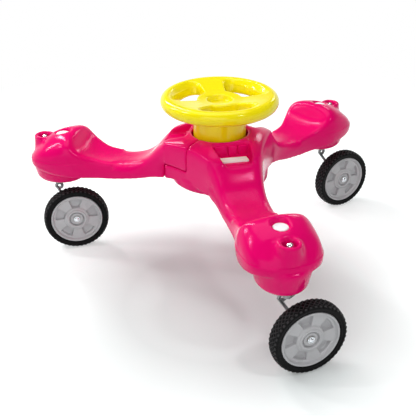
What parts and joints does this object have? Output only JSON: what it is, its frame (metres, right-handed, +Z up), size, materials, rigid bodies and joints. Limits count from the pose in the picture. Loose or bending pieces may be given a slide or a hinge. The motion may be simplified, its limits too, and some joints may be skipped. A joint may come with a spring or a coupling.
{
  "type": "wiggle tricycle",
  "caption": "Low ride-on tricycle: a three-armed moulded body with a saddle on each arm, a steering wheel on top and a swivelling caster wheel under each arm's end.",
  "frame": {"origin": "middle of the floor rectangle under the object, on the floor", "axes": "+Z up; the front arm points along -Y; the left arm at 150 degrees and the right arm at 30 degrees from +X"},
  "size_m": [0.998, 0.8448, 0.4682],
  "materials": {
    "pink": "glossy moulded plastic, faint orange peel",
    "yellow": "glossy moulded plastic",
    "grey": "satin moulded plastic",
    "white": "glossy push-in caps",
    "nylon": "natural nylon",
    "rubber": "matt black rubber",
    "steel": "dull dark grey zinc",
    "chrome": "bright plated"
  },
  "bodies": {
    "body": {"main_body": "pink", "left_arm": "pink", "arm_bolt_a": "steel", "arm_bolt_b": "steel", "column_bush": "nylon", "caster_plate_front": "steel", "swivel_bush_front": "nylon", "plate_bolt_outer_front": "steel", "plate_bolt_inner_front": "steel", "plain_nut_front": "steel", "acorn_nut_front": "chrome", "bolt_cap_front": "white", "caster_plate_left": "steel", "swivel_bush_left": "nylon", "plate_bolt_outer_left": "steel", "plate_bolt_inner_left": "steel", "plain_nut_left": "steel", "acorn_nut_left": "chrome", "bolt_cap_left": "white", "caster_plate_right": "steel", "swivel_bush_right": "nylon", "plate_bolt_outer_right": "steel", "plate_bolt_inner_right": "steel", "plain_nut_right": "steel", "acorn_nut_right": "chrome", "bolt_cap_right": "white"},
    "steering": {"steering_wheel": "yellow", "column_bolt": "steel", "column_washer": "steel", "column_insert": "steel"},
    "caster_front": {"caster_leg_front": "steel", "stem_collar_front": "steel", "axle_washer_front": "chrome", "axle_screw_front": "chrome"},
    "wheel_front": {"wheel_rim_front": "grey", "tyre_front": "rubber", "wheel_bush_front": "nylon"},
    "caster_left": {"caster_leg_left": "steel", "stem_collar_left": "steel", "axle_washer_left": "chrome", "axle_screw_left": "chrome"},
    "wheel_left": {"wheel_rim_left": "grey", "tyre_left": "rubber", "wheel_bush_left": "nylon"},
    "caster_right": {"caster_leg_right": "steel", "stem_collar_right": "steel", "axle_washer_right": "chrome", "axle_screw_right": "chrome"},
    "wheel_right": {"wheel_rim_right": "grey", "tyre_right": "rubber", "wheel_bush_right": "nylon"}
  },
  "joints": [
    {"name": "steering_turn", "type": "hinge", "parent": "body", "child": "steering", "pos_m": [-0.0356, 0.1132, 0.3295], "axis": [0, 0, 1], "continuous": true},
    {"name": "caster_front_swivel", "type": "hinge", "parent": "body", "child": "caster_front", "pos_m": [-0.0356, -0.3458, 0.1945], "axis": [0, 0, 1], "continuous": true},
    {"name": "wheel_front_roll", "type": "hinge", "parent": "caster_front", "child": "wheel_front", "pos_m": [0.00542, -0.40057, 0.089], "axis": [0.0645, -0.9979, 0], "continuous": true},
    {"name": "caster_left_swivel", "type": "hinge", "parent": "body", "child": "caster_left", "pos_m": [-0.43311, 0.3427, 0.1945], "axis": [0, 0, 1], "continuous": true},
    {"name": "wheel_left_roll", "type": "hinge", "parent": "caster_left", "child": "wheel_left", "pos_m": [-0.3999, 0.28287, 0.089], "axis": [-0.0715, -0.9974, 0], "continuous": true},
    {"name": "caster_right_swivel", "type": "hinge", "parent": "body", "child": "caster_right", "pos_m": [0.36191, 0.3427, 0.1945], "axis": [0, 0, 1], "continuous": true},
    {"name": "wheel_right_roll", "type": "hinge", "parent": "caster_right", "child": "wheel_right", "pos_m": [0.41049, 0.29451, 0.089], "axis": [0.2096, -0.9778, 0], "continuous": true}
  ]
}
